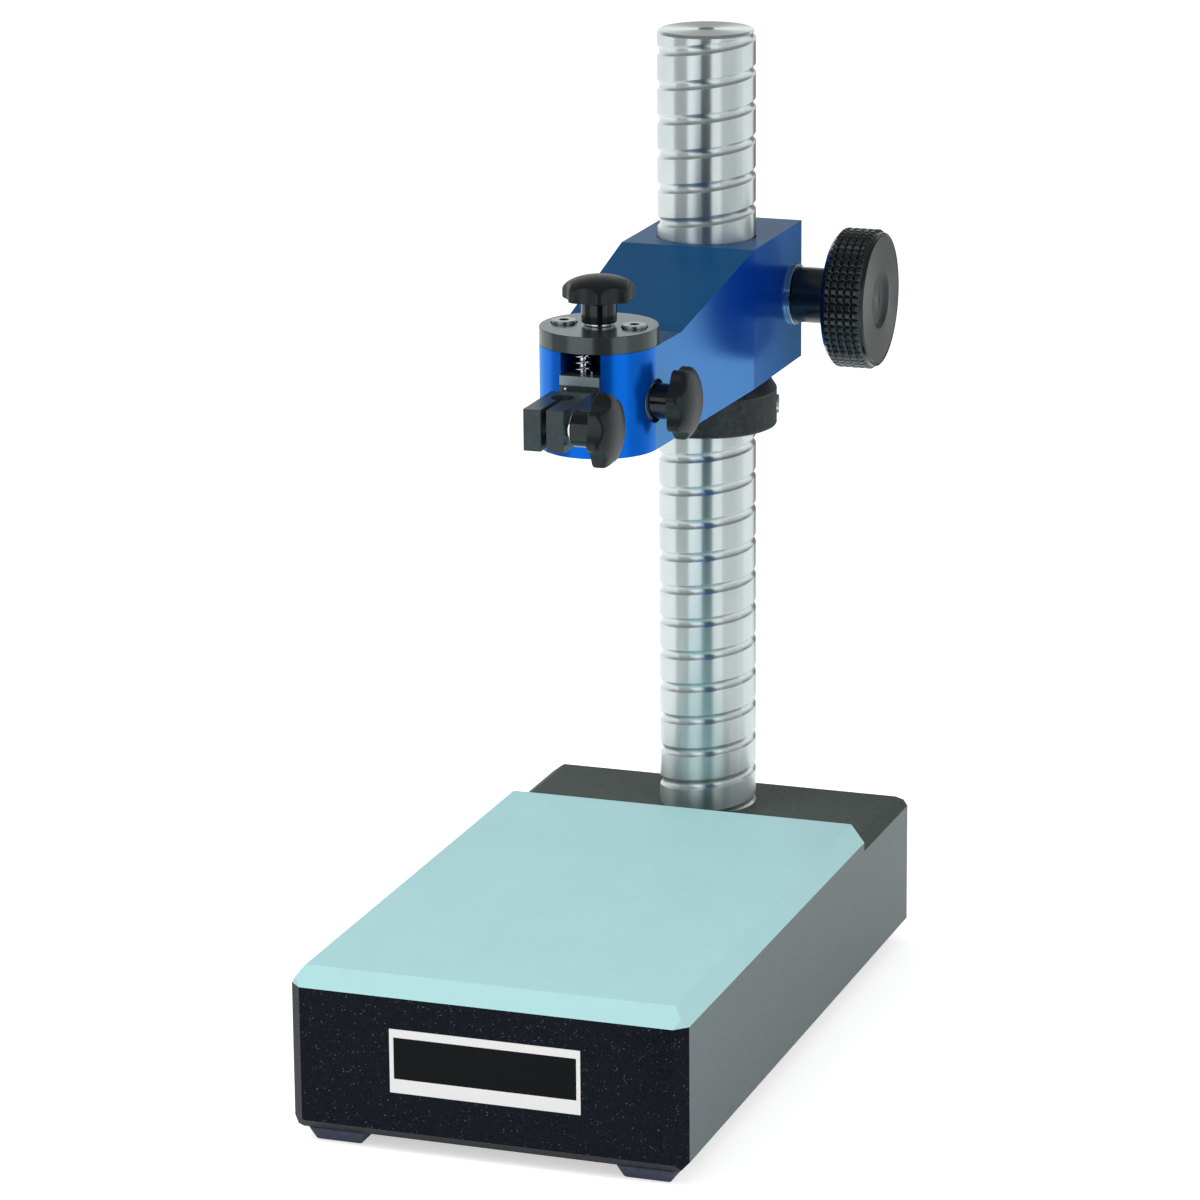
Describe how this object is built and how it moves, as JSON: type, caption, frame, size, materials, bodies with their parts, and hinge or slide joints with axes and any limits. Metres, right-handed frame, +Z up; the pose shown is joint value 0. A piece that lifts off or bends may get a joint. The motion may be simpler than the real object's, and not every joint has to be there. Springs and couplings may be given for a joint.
{
  "type": "comparator stand",
  "caption": "Bench comparator stand: granite base with a flat measuring plate, helically grooved column, height ring, clamped arm and fine-adjust gauge holder.",
  "frame": {"origin": "middle of the stand's whole outline, on the table under the feet", "axes": "+Z up along the column, +Y to the rear where the column stands, +X to the side of the hand knobs; the arm points to -Y"},
  "size_m": [0.138, 0.2854, 0.339],
  "materials": {
    "granite": "polished black granite with fine pale speckle",
    "plate": "pale blue lapped hard-stone face, matt",
    "foot_rubber": "matt slate rubber",
    "label": "blank printed plate, white border and black field",
    "column_steel": "bright ground hard-chromed steel",
    "steel": "bright turned steel",
    "black_steel": "blackened steel, satin",
    "ring_black": "blackened steel, fine knurl",
    "blue_anodised": "blue anodised aluminium, satin",
    "black_anodised": "black anodised aluminium, knurled",
    "knob_plastic": "black moulded plastic, satin"
  },
  "bodies": {
    "base": {"granite_base": "granite", "measuring_plate": "plate", "rubber_feet": "foot_rubber", "blank_label": "label", "column": "column_steel", "column_bolt": "black_steel", "column_washer": "steel"},
    "lift": {"thrust_washer": "steel"},
    "ring": {"height_ring": "ring_black", "guide_screw": "steel"},
    "arm_set": {"arm": "blue_anodised", "clamp_washer": "steel", "head_disc": "black_steel", "disc_screws": "steel", "fine_washer": "steel", "fine_spring": "steel"},
    "clamp_set": {"clamp_knob": "black_anodised", "clamp_screw": "steel"},
    "fine_set": {"fine_knob": "knob_plastic", "fine_spindle": "black_steel"},
    "slider_set": {"slider": "black_steel", "spring_pin": "steel", "stop_pin": "steel", "gauge_holder": "black_steel", "holder_washer": "steel"},
    "holder_set": {"holder_knob": "knob_plastic", "holder_screw": "steel"},
    "lock_set": {"lock_knob": "knob_plastic", "lock_screw": "steel"}
  },
  "joints": [
    {"name": "ring_turn", "type": "hinge", "parent": "lift", "child": "ring", "pos_m": [0, 0.09095, 0.2034], "axis": [0, 0, 1], "range_deg": [-4051, 2071]},
    {"name": "arm_lift", "type": "slide", "parent": "base", "child": "lift", "axis": [0, 0, 1], "range_m": [-0.13725, 0.07015]},
    {"name": "arm_swivel", "type": "hinge", "parent": "lift", "child": "arm_set", "pos_m": [0, 0.09095, 0.2154], "axis": [0, 0, 1], "continuous": true},
    {"name": "clamp_knob_turn", "type": "hinge", "parent": "arm_set", "child": "clamp_set", "pos_m": [0, 0.11775, 0.2399], "axis": [1, 0, 0], "range_deg": [0, 270]},
    {"name": "fine_knob_turn", "type": "hinge", "parent": "arm_set", "child": "fine_set", "pos_m": [0, -0.02455, 0.2509], "axis": [0, 0, 1], "range_deg": [-1441, 2161]},
    {"name": "fine_slide", "type": "slide", "parent": "arm_set", "child": "slider_set", "axis": [0, 0, 1], "range_m": [-0.0042, 0.0028], "deforming": ["fine_spring"]},
    {"name": "holder_knob_turn", "type": "hinge", "parent": "slider_set", "child": "holder_set", "pos_m": [0, -0.07295, 0.233], "axis": [1, 0, 0], "range_deg": [0, 360]},
    {"name": "lock_knob_turn", "type": "hinge", "parent": "arm_set", "child": "lock_set", "pos_m": [0, -0.02455, 0.2322], "axis": [1, 0, 0], "range_deg": [0, 360]}
  ],
  "couplings": [
    {"joint": "ring_turn", "follows": "arm_lift", "rad_per_m": 515.02},
    {"joint": "fine_knob_turn", "follows": "fine_slide", "rad_per_m": -8976}
  ]
}
